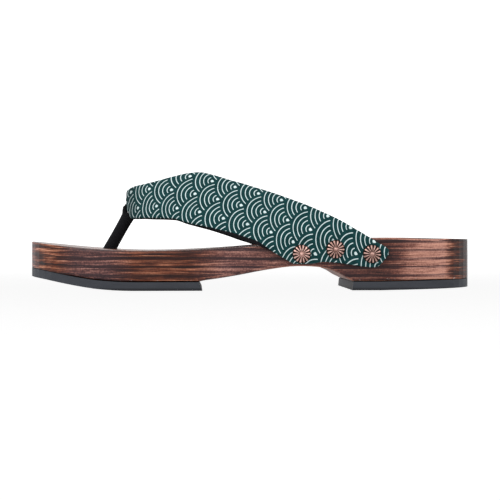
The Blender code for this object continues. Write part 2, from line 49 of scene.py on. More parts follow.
LENGTH = 0.260
TOE_TIP = -LENGTH / 2
HEEL_TIP = LENGTH / 2
FOREFOOT_WIDTH = 0.098
HEEL_WIDTH = 0.086
TOE_ROUNDING = 0.050          # length over which the plan closes to the toe tip
HEEL_ROUNDING = 0.045
TOE_SQUARENESS = 2.3          # exponent of the rounding: 2 is an ellipse
HEEL_SQUARENESS = 2.5
WIDEST_FROM_TOE = 0.055       # the plan keeps its forefoot width up to here
HEEL_WIDTH_FROM_END = 0.060   # and its heel width from here on
TOE_HEIGHT = 0.0279           # footbed at the toe tip
BALL_HEIGHT = 0.0227          # footbed at its lowest
HEEL_HEIGHT = 0.0303          # footbed at its highest
HEEL_END_DROP = 0.0010
BALL_FROM_TOE = 0.068
HEEL_TOP_FROM_TOE = 0.215
TOE_CURVE = 1.7               # exponent of the footbed's rise to the toe


def clamp(value):
    """The value, kept between 0 and 1."""
    return min(1.0, max(0.0, value))


def smooth_step(value):
    """An even S-curve from 0 to 1."""
    share = clamp(value)
    return share * share * (3.0 - 2.0 * share)


def half_width(x):
    """Half the base's width at x."""
    start = TOE_TIP + WIDEST_FROM_TOE
    end = HEEL_TIP - HEEL_WIDTH_FROM_END
    blend = smooth_step((x - start) / (end - start))
    side = (FOREFOOT_WIDTH + (HEEL_WIDTH - FOREFOOT_WIDTH) * blend) / 2
    toe = clamp((TOE_TIP + TOE_ROUNDING - x) / TOE_ROUNDING)
    heel = clamp((x - HEEL_TIP + HEEL_ROUNDING) / HEEL_ROUNDING)
    side *= (1.0 - toe ** TOE_SQUARENESS) ** (1.0 / TOE_SQUARENESS)
    return side * (1.0 - heel ** HEEL_SQUARENESS) ** (1.0 / HEEL_SQUARENESS)


def footbed_height(x):
    """Height of the footbed's surface at x."""
    ball = TOE_TIP + BALL_FROM_TOE
    heel_top = TOE_TIP + HEEL_TOP_FROM_TOE
    toe_rise = clamp((ball - x) / BALL_FROM_TOE) ** TOE_CURVE * (TOE_HEIGHT - BALL_HEIGHT)
    heel_rise = smooth_step((x - ball) / (heel_top - ball)) * (HEEL_HEIGHT - BALL_HEIGHT)
    end_drop = clamp((x - heel_top) / (HEEL_TIP - heel_top)) * HEEL_END_DROP
    return BALL_HEIGHT + toe_rise + heel_rise - end_drop


class Shader:
    """A material's node tree, filled one node at a time."""

    def __init__(self, name):
        self.material = bpy.data.materials.new(name)
        self.material.use_nodes = True
        self.tree = self.material.node_tree
        self.surface = self.tree.nodes["Principled BSDF"]

    def feed(self, node, socket_name, value):
        """Give an input a value, or link it to another node's output."""
        socket = node.inputs[socket_name]
        if isinstance(value, bpy.types.NodeSocket):
            self.tree.links.new(value, socket)
        elif socket.type == "RGBA":
            socket.default_value = (*value, 1.0)
        else:
            socket.default_value = value

    def node(self, kind, settings=None, **inputs):
        """A node with its settings and inputs; an input is a value or another node's output."""
        made = self.tree.nodes.new("ShaderNode" + kind)
        for name, value in (settings or {}).items():
            setattr(made, name, value)
        for name, value in inputs.items():
            self.feed(made, name.replace("_", " "), value)
        return made

    def math(self, operation, *values):
        """The result of a sum on numbers."""
        made = self.node("Math", {"operation": operation})
        for index, value in enumerate(values):
            self.feed(made, index, value)
        return made.outputs[0]

    def add(self, first, second):
        """Two numbers added."""
        return self.math("ADD", first, second)

    def less(self, first, second):
        """The second number taken from the first."""
        return self.math("SUBTRACT", first, second)

    def times(self, first, second):
        """Two numbers multiplied."""
        return self.math("MULTIPLY", first, second)

    def span(self, value, start, end, low=0.0, high=1.0, kind="SMOOTHSTEP"):
        """A number's range turned into another, with soft ends."""
        made = self.node("MapRange", {"interpolation_type": kind}, Value=value)
        for name, number in (("From Min", start), ("From Max", end), ("To Min", low), ("To Max", high)):
            self.feed(made, name, number)
        return made.outputs[0]

    def between(self, share, first, second):
        """A number between two others, by a share from 0 to 1."""
        return self.span(share, 0.0, 1.0, first, second, kind="LINEAR")

    def xyz(self, vector):
        """The three numbers of a vector."""
        return self.node("SeparateXYZ", None, Vector=vector).outputs

    def place(self):
        """The place of a point on the sandal, in metres."""
        return self.node("TexCoord").outputs["Object"]

    def upward(self):
        """How far a face looks up: 1 on top, -1 underneath."""
        return self.xyz(self.node("NewGeometry").outputs["Normal"])[2]

    def noise(self, place, scale, detail=3.0, roughness=0.5):
        """Cloudy noise."""
        return self.node("TexNoise", None, Vector=place, Scale=scale, Detail=detail,
                         Roughness=roughness).outputs["Fac"]

    def stretched(self, place, scale):
        """A place multiplied along each axis."""
        return self.node("Mapping", None, Vector=place, Scale=scale).outputs[0]

    def ramp(self, value, stops):
        """Colours along a number; a stop is a place and its colour."""
        made = self.node("ValToRGB", None, Fac=value)
        while len(made.color_ramp.elements) < len(stops):
            made.color_ramp.elements.new(1.0)
        for element, (place, color) in zip(made.color_ramp.elements, stops):
            element.position = place
            element.color = (*color, 1.0)
        return made.outputs[0]

    def mix(self, share, first, second):
        """Two colours mixed."""
        made = self.node("Mix", {"data_type": "RGBA"})
        for index, value in ((0, share), (6, first), (7, second)):
            self.feed(made, index, value)
        return made.outputs[2]

    def bump(self, height, strength, distance):
        """A relief's normal."""
        return self.node("Bump", None, Height=height, Strength=strength, Distance=distance).outputs[0]

    def set(self, **inputs):
        """Inputs of the surface."""
        for name, value in inputs.items():
            self.feed(self.surface, name.replace("_", " "), value)


def finish_node(name, shader):
    """Give a node of the frame its better material."""
    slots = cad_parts[name].data.materials
    slots.clear()
    slots.append(shader.material)


RING_GAP = 0.0048             # between two dark late rings
RING_START = 0.02             # the rings are shifted by this share of a gap
PITH_DEPTH = 0.600            # the tree's heart lay this far under the floor
SIDE_DRIFT = 0.0050           # how far the rings wander on the sides
FOOTBED_DRIFT = 0.0130        # and on the footbed
RING_WAVER = 0.0006
BOARD_SPREAD = 0.95           # below 1, the footbed's lines lie wider apart than the rings
GRAIN_ALONG = 15.0            # streaks in a metre along the board
SIDE_GRAIN = (50.0, 1250.0)   # and across it and up it, on the sides
FOOTBED_GRAIN = (700.0, 0.0)  # and on the footbed
GLUE_TOP = (0.0061, 0.0071)   # glue shows up to this height, at the forefoot and at the heel
LATE_WOOD = (0.016, 0.0070, 0.0065)
DARK_WOOD = (0.036, 0.0120, 0.0095)
RED_WOOD = (0.132, 0.0350, 0.0160)
TAN_WOOD = (0.530, 0.2380, 0.1420)
DARK_WAX_AND_SHEEN = (0.052, 0.032, 0.038)
VIOLET_WAX_AND_SHEEN = (0.115, 0.075, 0.088)
PALE_WAX_AND_SHEEN = (0.330, 0.235, 0.270)
DRIED_GLUE = (0.46, 0.38, 0.36)

# How the scorching and painted light lie along the side: place as a share of the length, share of tan
# wood, wax haze
# The tan share falls at the heel end as painted shade where the end turns from the light; the wax haze is
# partly a painted pale violet sheen, strongest at the toe tip
SCORCH_AND_LIGHT_ALONG = [
    (0.00, 0.55, 0.90),
    (0.03, 0.52, 0.05),
    (0.07, 0.52, 0.00),
    (0.11, 0.42, 0.60),
    (0.18, 0.42, 0.65),
    (0.24, 0.44, 0.00),
    (0.36, 0.42, 0.00),
    (0.44, 0.60, 0.60),
    (0.55, 0.42, 0.50),
    (0.72, 0.28, 0.35),
    (0.80, 0.36, 0.25),
    (0.845, 0.76, 0.40),
    (0.925, 0.86, 0.45),
    (0.950, 0.40, 0.05),
    (0.975, 0.22, 0.00),
    (1.00, 0.16, 0.00),
]

wood = Shader("scorched_wood_grain")
wood_place = wood.place()
wood_x, wood_y, wood_z = wood.xyz(wood_place)
wood_up = wood.upward()
flat_on = wood.span(wood.math("ABSOLUTE", wood_up), 0.35, 0.80)

# Late rings: circles round the pith on the sides, straight board lines on the footbed
drift = wood.noise(wood.stretched(wood_place, (7.0, 14.0, 14.0)), 1.0, 2.0, 0.5)
waver = wood.noise(wood.stretched(wood_place, (60.0, 160.0, 160.0)), 1.0, 2.0, 0.6)
over_pith = wood.add(wood_z, PITH_DEPTH)
from_pith = wood.math("SQRT", wood.add(wood.times(wood_y, wood_y), wood.times(over_pith, over_pith)))
side_line = wood.add(from_pith, wood.times(drift, SIDE_DRIFT))
board_line = wood.add(wood.times(wood_y, BOARD_SPREAD), wood.times(drift, FOOTBED_DRIFT))
ring_line = wood.add(wood.between(flat_on, side_line, board_line), wood.times(waver, RING_WAVER))
ring = wood.math("FRACT", wood.add(wood.math("DIVIDE", ring_line, RING_GAP), RING_START))
late = wood.times(wood.span(ring, 0.55, 0.92), wood.span(ring, 1.0, 0.955))

# Grain: long streaks and finer fibres along the board, broad patches, and a fine mottle
grain_y = wood.times(wood_y, wood.between(flat_on, SIDE_GRAIN[0], FOOTBED_GRAIN[0]))
grain_z = wood.times(wood_z, wood.between(flat_on, SIDE_GRAIN[1], FOOTBED_GRAIN[1]))
grain_x = wood.times(wood_x, GRAIN_ALONG)
grain = wood.node("CombineXYZ", None, X=grain_x, Y=grain_y, Z=grain_z).outputs[0]
streak = wood.noise(grain, 1.0, 5.0, 0.66)
fibre = wood.noise(wood.stretched(grain, (4.0, 2.4, 2.4)), 1.0, 3.0, 0.7)
patch = wood.noise(wood.stretched(wood_place, (20.0, 60.0, 60.0)), 1.0, 3.0, 0.55)
mottle = wood.noise(wood_place, 1100.0, 3.0, 0.6)

# Scorching, wax, painted shade and painted sheen by the table along the sides, and calmer on the footbed
along_share = wood.add(wood.math("DIVIDE", wood_x, LENGTH), 0.5)
scorch_and_light_stops = [(share, (tan_share, wax, 0.0)) for share, tan_share, wax in SCORCH_AND_LIGHT_ALONG]
warmth_and_shade, wax_and_sheen_haze, _ = wood.xyz(wood.ramp(along_share, scorch_and_light_stops))
warmth_and_shade = wood.between(flat_on, warmth_and_shade, wood.span(patch, 0.35, 0.65, 0.30, 0.55))
wax_and_sheen_haze = wood.times(wax_and_sheen_haze, wood.between(flat_on, 1.0, 0.4))
streak = wood.between(wood.add(wood.times(wax_and_sheen_haze, 0.40), 0.12), streak, mottle)
lightness = wood.add(wood.times(streak, 1.25), wood.times(fibre, 0.95))
lightness = wood.add(lightness, wood.times(patch, 0.45))
lightness = wood.add(lightness, wood.times(wood.less(warmth_and_shade, 0.5), 0.60))
lightness = wood.less(lightness, wood.times(late, 0.16))
tone = wood.span(lightness, 1.05, 1.62, kind="LINEAR")
brown = wood.ramp(tone, [(0.08, LATE_WOOD), (0.30, DARK_WOOD), (0.52, RED_WOOD), (0.95, TAN_WOOD)])
brown = wood.mix(wood.times(late, 0.55), brown, LATE_WOOD)
# Painted sheen: the wax haze mixes in a pale violet tone that stands in for a reflection
wax_and_sheen = wood.ramp(tone, [(0.15, DARK_WAX_AND_SHEEN), (0.50, VIOLET_WAX_AND_SHEEN), (0.90, PALE_WAX_AND_SHEEN)])
brown = wood.mix(wood.times(wax_and_sheen_haze, 0.60), brown, wax_and_sheen)

# Specks of dried glue just over the rubber
glue = wood.span(wood.noise(wood_place, 420.0, 3.0, 0.7), 0.60, 0.68)
glue = wood.times(glue, wood.math("LESS_THAN", wood_z, wood.span(wood_x, 0.0, 0.001, *GLUE_TOP)))
brown = wood.mix(wood.times(glue, 0.5), brown, DRIED_GLUE)

relief = wood.add(wood.times(streak, 0.7), wood.times(late, 0.6))
relief = wood.add(relief, wood.times(fibre, 0.4))
wood.set(Base_Color=brown, Roughness=wood.span(lightness, 1.1, 1.6, 0.42, 0.55), Specular_IOR_Level=0.13,
         Coat_Weight=wood.span(wood_up, 0.2, 0.8, 0.0, 0.35), Coat_Roughness=0.28,
         Normal=wood.bump(relief, 0.45, 0.0005))
finish_node("base", wood)


# Rubber soles
# Two sheets of dark foam rubber, cut to the base's plan and glued under the forefoot and the heel.
# Their cut edges are matt and a little porous, and the undersides have a fine cross tread.

DARK_SLATE = (0.022, 0.024, 0.030)
PALE_SLATE = (0.034, 0.037, 0.045)
LOW_EDGE_SLATE = (0.008, 0.009, 0.011)
DARKENING_HEIGHT = (0.0020, 0.0009)  # the cut edge darkens from the first height down to the second
TREAD_PITCH = 0.0040

rubber = Shader("slate_foam_rubber")
rubber_place = rubber.place()
rubber_x, _, rubber_z = rubber.xyz(rubber_place)
pores = rubber.noise(rubber_place, 1900.0, 3.0, 0.6)
cloud = rubber.noise(rubber.stretched(rubber_place, (30.0, 120.0, 120.0)), 1.0, 3.0, 0.5)
slate = rubber.ramp(cloud, [(0.3, DARK_SLATE), (0.7, PALE_SLATE)])
# The cut edge is darker towards the bottom
slate = rubber.mix(rubber.span(rubber_z, *DARKENING_HEIGHT, 0.0, 0.8), slate, LOW_EDGE_SLATE)
tread = rubber.span(rubber.math("PINGPONG", rubber_x, TREAD_PITCH / 2), 0.0006, 0.0010)
tread = rubber.times(tread, rubber.span(rubber.upward(), -0.7, -0.9))
rubber_relief = rubber.add(rubber.times(pores, 0.12), tread)
rubber.set(Base_Color=slate, Roughness=0.62, Specular_IOR_Level=0.2,
           Normal=rubber.bump(rubber_relief, 0.6, 0.0005))
for name in ("forefoot_sole", "heel_sole"):
    finish_node(name, rubber)


# Strap
# The upper: a padded band of wave-fan print, wrapped over a soft core and lined with fine black
# cloth. It runs from the toe post over the instep and down both sides, where it is nailed.

STRAP_FROM_TOE = 0.0554
STRAP_FRONT = TOE_TIP + STRAP_FROM_TOE
STRAP_LENGTH = 0.1519
STRAP_PEAK_HEIGHT = 0.0690
STRAP_WALL = 0.0034
STRAP_NOSE = 0.0050           # length of the rounding round the toe post
STRAP_TIP = 0.010             # length over which the two ends round off
FIT_GAP = 0.0003              # between pieces that meet
BEND_ABOVE_RIM = 0.0012       # the strap leans inwards from this height over the footbed

# Sections, front to back: share of the strap's length, lower and upper edge as shares of its peak
# height, their spread as shares of the spread of its ends, and how softly the section bends
STRAP_SECTIONS = [
    (0.0000, 0.665, 0.836, 0.175, 0.095, 0.60),
    (0.0053, 0.663, 0.845, 0.180, 0.096, 0.60),
    (0.0119, 0.632, 0.855, 0.192, 0.099, 0.60),
    (0.0211, 0.599, 0.866, 0.222, 0.104, 0.60),
    (0.0376, 0.602, 0.881, 0.285, 0.118, 0.60),
    (0.0805, 0.607, 0.905, 0.410, 0.175, 0.60),
    (0.1330, 0.607, 0.934, 0.520, 0.248, 0.60),
    (0.1860, 0.602, 0.965, 0.618, 0.308, 0.60),
    (0.2390, 0.566, 0.990, 0.722, 0.348, 0.55),
    (0.2920, 0.536, 1.000, 0.812, 0.378, 0.50),
    (0.3450, 0.506, 0.975, 0.884, 0.422, 0.40),
    (0.4106, 0.459, 0.929, 0.944, 0.490, 0.30),
    (0.4630, 0.414, 0.894, 0.978, 0.560, 0.20),
    (0.5000, 0.382, 0.866, 0.998, 0.614, 0.20),
    (0.5280, 0.354, 0.847, 1.004, 0.655, 0.18),
    (0.5560, 0.328, 0.827, 1.000, 0.690, 0.14),
    (0.6086, 0.265, 0.785, 1.000, 0.757, 0.14),
    (0.6480, 0.223, 0.752, 1.000, 0.805, 0.14),
    (0.7076, 0.222, 0.697, 1.000, 0.873, 0.16),
    (0.7540, 0.238, 0.649, 1.000, 0.918, 0.20),
    (0.8130, 0.230, 0.587, 1.000, 0.960, 0.25),
    (0.8660, 0.213, 0.516, 1.000, 0.990, 0.30),
    (0.9056, 0.200, 0.463, 1.000, 1.000, 0.30),
    (0.9420, 0.193, 0.414, 1.000, 1.000, 0.30),
    (0.9617, 0.201, 0.386, 1.000, 1.000, 0.30),
    (0.9780, 0.236, 0.368, 1.000, 1.000, 0.30),
    (0.9914, 0.272, 0.349, 1.000, 1.000, 0.30),
    (1.0000, 0.299, 0.332, 1.000, 1.000, 0.30),
]

# How the print lies on the near half: place along x, fans passed at the upper edge, how many more
# a metre down the section, fan rows from the upper edge, and the height of a row
PRINT_LIE = [
    (-0.0746, -2.78, -2.0, 0.84, 0.0125),
    (-0.0700, -2.40, 5.0, 0.78, 0.0124),
    (-0.0660, -2.03, 7.5, 0.72, 0.0122),
    (-0.0600, -1.54, 9.5, 0.60, 0.0123),
    (-0.0540, -1.10, 12.0, 0.41, 0.0120),
    (-0.0470, -0.70, 18.5, 0.17, 0.0122),
    (-0.0360, -0.08, 24.0, -0.25, 0.0125),
    (-0.0229, 0.89, 21.5, -0.44, 0.0128),
    (-0.0097, 1.91, 21.0, -0.38, 0.0124),
    (0.0035, 2.91, 21.0, -0.34, 0.0117),
    (0.0167, 3.94, 21.6, -0.26, 0.0118),
    (0.0301, 4.95, 24.6, -0.17, 0.0122),
    (0.0428, 5.98, 21.0, -0.06, 0.0132),
    (0.0555, 6.98, 21.0, -0.04, 0.0130),
    (0.0773, 8.60, 21.0, 0.00, 0.0130),
]

# Where the print's lower hem lies on the rolled edge: place along x, turn round the roll in degrees
HEM_TURN = [
    (-0.0746, 80.0),
    (-0.0400, 75.0),
    (-0.0300, 60.0),
    (-0.0200, 42.0),
    (-0.0100, 12.0),
    (0.0020, 0.0),
    (0.0080, 40.0),
    (0.0120, 70.0),
    (0.0220, 85.0),
    (0.0773, 100.0),
]


def read_curve(rows, column, at):
    """A column of a table between its rows, on a smooth curve that never overshoots them."""
    at = min(rows[-1][0], max(rows[0][0], at))
    index = 0
    while index < len(rows) - 2 and at > rows[index + 1][0]:
        index += 1

    def slope(left):
        return (rows[left + 1][column] - rows[left][column]) / (rows[left + 1][0] - rows[left][0])

    def tangent(row):
        if row == 0:
            return slope(0)
        if row == len(rows) - 1:
            return slope(len(rows) - 2)
        before, after = slope(row - 1), slope(row)
        if before * after <= 0.0:
            return 0.0
        return 2.0 * before * after / (before + after)

    run = rows[index + 1][0] - rows[index][0]
    t = (at - rows[index][0]) / run
    low, high = rows[index][column], rows[index + 1][column]
    from_low = (2 * t ** 3 - 3 * t ** 2 + 1) * low + (t ** 3 - 2 * t ** 2 + t) * run * tangent(index)
    return from_low + (3 * t ** 2 - 2 * t ** 3) * high + (t ** 3 - t ** 2) * run * tangent(index + 1)


def strap_side(x):
    """Distance from the middle to the strap's outside where it lies on the base's side."""
    return half_width(x) + FIT_GAP + STRAP_WALL


def strap_point(x, share):
    """A point of the near half's outside, share 0 on its lower edge and 1 on its upper edge."""
    along = (x - STRAP_FRONT) / STRAP_LENGTH
    low, high, low_spread, high_spread, soft = [
        read_curve(STRAP_SECTIONS, column, along) for column in range(1, 6)
    ]
    low_z = low * STRAP_PEAK_HEIGHT
    high_z = high * STRAP_PEAK_HEIGHT
    z = low_z + (high_z - low_z) * share
    bend = footbed_height(x) + BEND_ABOVE_RIM
    reach = max(high_z - bend, STRAP_WALL)

    def lean(height):
        return math.hypot(max(0.0, (height - bend) / reach), soft) - soft

    leaning = 0.0
    if lean(high_z) > lean(low_z):
        leaning = (lean(z) - lean(low_z)) / (lean(high_z) - lean(low_z))
    spread = strap_side(x) * (low_spread + (high_spread - low_spread) * leaning)
    nose = clamp((x - STRAP_FRONT) / STRAP_NOSE)
    return Vector((x, -spread * math.sqrt(1.0 - (1.0 - nose) ** 2), z))


# Nails: share of the strap's length, share of the footbed's height there
STUD_PLACES = [
    (0.672, 0.757),
    (0.800, 0.811),
    (0.938, 0.696),
]

# Creases on the strap: place along x, height, run in degrees from the band's own way, half
# length, half width, depth (a ridge when negative) and side (-1 near, 1 far, 0 both)
CREASES = [
    (-0.0722, 0.0545, 8.0, 0.0050, 0.0009, 0.00022, 0),
    (-0.0718, 0.0515, 0.0, 0.0062, 0.0010, 0.00026, 0),
    (-0.0724, 0.0480, -9.0, 0.0045, 0.0008, 0.00020, 0),
    (-0.0712, 0.0532, 4.0, 0.0070, 0.0012, -0.00018, 0),
    (-0.0600, 0.0500, 20.0, 0.0090, 0.0024, 0.00033, -1),
    (-0.0560, 0.0530, 26.0, 0.0090, 0.0024, 0.00036, 1),
    (-0.0380, 0.0600, 62.0, 0.0085, 0.0034, -0.00045, -1),
    (-0.0330, 0.0560, 66.0, 0.0110, 0.0030, 0.00042, -1),
    (-0.0350, 0.0590, 58.0, 0.0105, 0.0032, -0.00045, 1),
    (-0.0150, 0.0420, -30.0, 0.0120, 0.0034, 0.00034, -1),
    (-0.0080, 0.0440, -26.0, 0.0130, 0.0036, 0.00038, 1),
    (0.0120, 0.0330, 84.0, 0.0080, 0.0030, 0.00030, 0),
    (0.0670, 0.0268, 38.0, 0.0034, 0.0009, 0.00042, 0),
    (0.0738, 0.0240, 24.0, 0.0030, 0.0008, 0.00045, 0),
    (0.0742, 0.0200, -12.0, 0.0030, 0.0008, 0.00048, 0),
    (0.0735, 0.0166, -52.0, 0.0028, 0.0008, 0.00042, 0),
    (0.0672, 0.0156, -80.0, 0.0026, 0.0008, 0.00038, 0),
]

STRAP_STEPS = 120
NOSE_STEPS = 12
TIP_STEPS = 12
SHARES = 33
EDGE_GROWTH = (0.0005, -0.0001)  # past the upper and the lower edge
EDGE_REACH = 0.0018           # the close rows along an edge cover this much
EDGE_ROWS = 7
MIDDLE_ROWS = 25
NOSE_WALL = 0.0023            # the band is pressed thin where the post holds it
NOSE_WALL_LENGTH = 0.004
NOSE_WALL_EASE = 0.012
TIP_CLOSING = 0.0022          # the band's thickness closes over this length at its ends
CROWN = 0.0004                # the padding's rise
CROWN_REACH = 0.006           # from an edge to where the rise is full
CROWN_FADE = 0.03             # from a tip to where it is full
NAIL_PRESS = 0.00025          # a nail presses the padding in by this much
NAIL_PRESS_RADIUS = 0.0060
NAIL_FLAT_RADIUS = 0.0075     # no rise within this radius of a nail
PRINT_LIFT = 0.00025          # the print's own cloth lies this thick over the core

# Places along the near half, close together round the nose and the tip
quarter = math.pi / 2
nose_end = STRAP_FRONT + STRAP_NOSE
tip_start = STRAP_FRONT + STRAP_LENGTH - STRAP_TIP
strap_x = [nose_end - STRAP_NOSE * math.cos(quarter * k / NOSE_STEPS) for k in range(NOSE_STEPS + 1)]
strap_x += [nose_end + (tip_start - nose_end) * k / STRAP_STEPS for k in range(1, STRAP_STEPS + 1)]
strap_x += [tip_start + STRAP_TIP * math.sin(quarter * k / TIP_STEPS) for k in range(1, TIP_STEPS + 1)]
near = np.array([[strap_point(x, 1.0 - k / (SHARES - 1)) for k in range(SHARES)] for x in strap_x])
far = near * np.array([1.0, -1.0, 1.0])
outside = np.concatenate([near[::-1], far[1:]])
station_x = np.array(strap_x[::-1] + strap_x[1:])
station_side = np.array([-1.0] * len(strap_x) + [1.0] * (len(strap_x) - 1))


def unit(rows):
    """Vectors of length 1."""
    return rows / np.maximum(np.linalg.norm(rows, axis=-1, keepdims=True), 1e-12)


def lengths_along(line):
    """Each point's distance along a line."""
    return np.concatenate([[0.0], np.cumsum(np.linalg.norm(np.diff(line, axis=0), axis=1))])


def resampled(line, at):
    """A line's points at given distances along it."""
    lengths = lengths_along(line)
    return np.stack([np.interp(at, lengths, line[:, axis]) for axis in range(3)], axis=1)


# Places across the band, close together at both rolled edges
edge_shares = 1 - np.cos(np.linspace(0.0, quarter, EDGE_ROWS))
outer_rows = []
down_rows = []
for line in outside:
    top_way = unit(line[0] - line[1]) * EDGE_GROWTH[0]
    low_way = unit(line[-1] - line[-2]) * EDGE_GROWTH[1]
    grown = np.concatenate([[line[0] + top_way], line[1:-1], [line[-1] + low_way]])
    width = lengths_along(grown)[-1]
    reach = min(EDGE_REACH, 0.45 * width)
    edge = edge_shares * reach
    middle = np.linspace(reach, width - reach, MIDDLE_ROWS)
    at = np.concatenate([edge[:-1], middle, (width - edge[:-1])[::-1]])
    outer_rows.append(resampled(grown, at))
    down_rows.append(at - EDGE_GROWTH[0])
outer = np.array(outer_rows)
down = np.array(down_rows)


def outward_normals(grid):
    """The outward direction at each point of the band's grid, whose nose faces the toe."""
    normals = unit(np.cross(np.gradient(grid, axis=1), np.gradient(grid, axis=0)))
    nose_way = normals[normals.shape[0] // 2, normals.shape[1] // 2, 0]
    return -normals if nose_way > 0 else normals


normals = outward_normals(outer)
tip_distance = STRAP_FRONT + STRAP_LENGTH - station_x
front_distance = station_x - STRAP_FRONT
thickening = np.clip((front_distance - NOSE_WALL_LENGTH) / NOSE_WALL_EASE, 0, 1)
wall = NOSE_WALL + (STRAP_WALL - NOSE_WALL) * thickening
wall = wall * np.sqrt(1 - (1 - np.clip(tip_distance / TIP_CLOSING, 0.02, 1)) ** 2)
roll = wall / 2
half = roll[:, None]
from_edge = np.minimum(down - down[:, :1], down[:, -1:] - down)
rounding = np.sqrt(1 - (1 - np.clip(from_edge / half, 0, 1)) ** 2)
fullness = CROWN * np.clip(tip_distance / CROWN_FADE, 0.1, 1)[:, None]
crown = fullness * np.clip(from_edge / CROWN_REACH, 0, 1)
for stud_along, stud_up in STUD_PLACES:
    stud_x = STRAP_FRONT + stud_along * STRAP_LENGTH
    stud_z = stud_up * footbed_height(stud_x)
    apart = np.hypot(outer[..., 0] - stud_x, outer[..., 2] - stud_z)
    crown = crown * (1 - np.exp(-(apart / NAIL_FLAT_RADIUS) ** 4))
    crown = crown - NAIL_PRESS * np.exp(-(apart / NAIL_PRESS_RADIUS) ** 4)
for at_x, at_z, run, long_reach, wide_reach, depth, crease_side in CREASES:
    way_x, way_z = math.cos(math.radians(run)), math.sin(math.radians(run))
    off_x, off_z = outer[..., 0] - at_x, outer[..., 2] - at_z
    beside = (off_x * way_x + off_z * way_z) / long_reach
    astride = (off_z * way_x - off_x * way_z) / wide_reach
    trough = depth * np.exp(-beside ** 2 - astride ** 2)
    if crease_side:
        trough = trough * (station_side == crease_side)[:, None]
    crown = crown - trough
sunk = (crown - fullness - PRINT_LIFT) * rounding
outer_skin = outer + normals * ((rounding - 1) * half + sunk)[..., None]
inner_skin = outer + normals * ((1 - rounding) * half - wall[:, None])[..., None]
ring = np.concatenate([outer_skin, inner_skin[:, -2:0:-1]], axis=1)


def skin_mesh(name, grid, closed, material):
    """A mesh over a grid of points; closed joins each row's ends and fills both end rows."""
    mesh = bpy.data.meshes.new(name)
    rows, columns = grid.shape[:2]
    faces = []
    for i in range(rows - 1):
        for j in range(columns if closed else columns - 1):
            k = (j + 1) % columns
            faces.append((i * columns + j, (i + 1) * columns + j, (i + 1) * columns + k, i * columns + k))
    if closed:
        faces.append(tuple(range(columns)))
        faces.append(tuple((rows - 1) * columns + j for j in range(columns))[::-1])
    mesh.from_pydata(grid.reshape(-1, 3).tolist(), [], faces)
    mesh.materials.append(material)
    made = bpy.data.objects.new(name, mesh)
    bpy.context.scene.collection.objects.link(made)
    mesh.shade_smooth()
    return made


BLACK_THREAD = (0.003, 0.003, 0.004)
WORN_BLACK_THREAD = (0.009, 0.009, 0.0105)

lining_cloth = Shader("fine_black_cloth")
lining_noise = lining_cloth.noise(lining_cloth.place(), 1400.0, 3.0, 0.6)
lining_tone = lining_cloth.ramp(lining_noise, [(0.3, BLACK_THREAD), (0.7, WORN_BLACK_THREAD)])
lining_cloth.set(Base_Color=lining_tone, Roughness=0.85, Specular_IOR_Level=0.08, Sheen_Weight=0.02,
                 Sheen_Roughness=0.5, Normal=lining_cloth.bump(lining_noise, 0.5, 0.0003))

core = skin_mesh("strap_lining", ring, True, lining_cloth.material)
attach(core, "root")

# The print is the same skin, from inside the upper edge to its hem on the lower roll
PRINT_INSIDE = 0.0030         # it starts this far down the inside of the upper edge
PRINT_COLUMNS = 44
LEAST_PRINT = 0.001           # its least width, at the very tip
HEM_SPARE = 8                 # points past the lower edge that the hem may reach

count = outer.shape[1]
print_rows = []
print_down = []
for i, line in enumerate(ring):
    start = len(line) - 1
    while start > count and np.linalg.norm(line[start] - line[0]) < PRINT_INSIDE:
        start -= 1
    upper_edge = len(line) - start
    path = np.concatenate([line[start:], line[:count + HEM_SPARE]])
    lengths = lengths_along(path)
    zero = lengths[upper_edge + count // 2] - down[i][count // 2]
    roll_start = lengths[upper_edge + count - 1] - roll[i] * quarter
    hem = roll_start + roll[i] * math.radians(read_curve(HEM_TURN, 1, station_x[i]))
    at = np.linspace(0.0, max(hem, LEAST_PRINT), PRINT_COLUMNS)
    print_rows.append(resampled(path, at))
    print_down.append(at - zero)
print_grid = np.array(print_rows)
print_grid = print_grid + outward_normals(print_grid) * PRINT_LIFT

DOT = 0.102                   # radius of a fan's dot, in fan radii as all that follows
RING_RADII = (0.95, 0.712, 0.488, 0.246)
RING_LINE = (0.030, 0.011)    # a ring's line fades out between these distances from its middle
FAN_PITCH = 1.31              # from fan to fan along the band
FAN_EDGE = 1.13               # a fan's own ground covers its neighbours' rings up to here
THREAD_PITCH = 0.00055        # in metres, and so are the next three
SEAM_EDGES = (0.0010, 0.0004)  # the seam is dark nearer to the middle than this
NOSE_SHADE_SPAN = (0.0130, 0.0015)    # the nose darkens between these distances from the strap's front
CLOTH_THICKNESS = 0.0004
DEEP_GREEN = (0.002, 0.023, 0.025)
GREEN = (0.005, 0.044, 0.046)
GREY_WHITE = (0.46, 0.58, 0.58)
PALE_WHITE = (0.67, 0.77, 0.77)
THREAD_SHADE = (0.004, 0.012, 0.012)
SEAM_GREEN = (0.002, 0.010, 0.011)
NOSE_SHADE_GREEN = (0.003, 0.010, 0.011)

cloth = Shader("wave_fan_print")
lie = cloth.node("UVMap", {"uv_map": "print"}).outputs[0]
fans, rows_down, _ = cloth.xyz(lie)


def fan_layer(shift):
    """How far a point is toward the toe from its fan's dot, and its distance from the dot."""
    back = cloth.math("FRACT", cloth.add(cloth.less(shift, fans), DOT / FAN_PITCH))
    back = cloth.less(cloth.times(back, FAN_PITCH), DOT)
    side = cloth.math("FRACT", cloth.add(cloth.times(rows_down, 0.5), shift + 0.5))
    side = cloth.times(cloth.less(side, 0.5), 2.0)
    away = cloth.math("SQRT", cloth.add(cloth.times(back, back), cloth.times(side, side)))
    return back, away


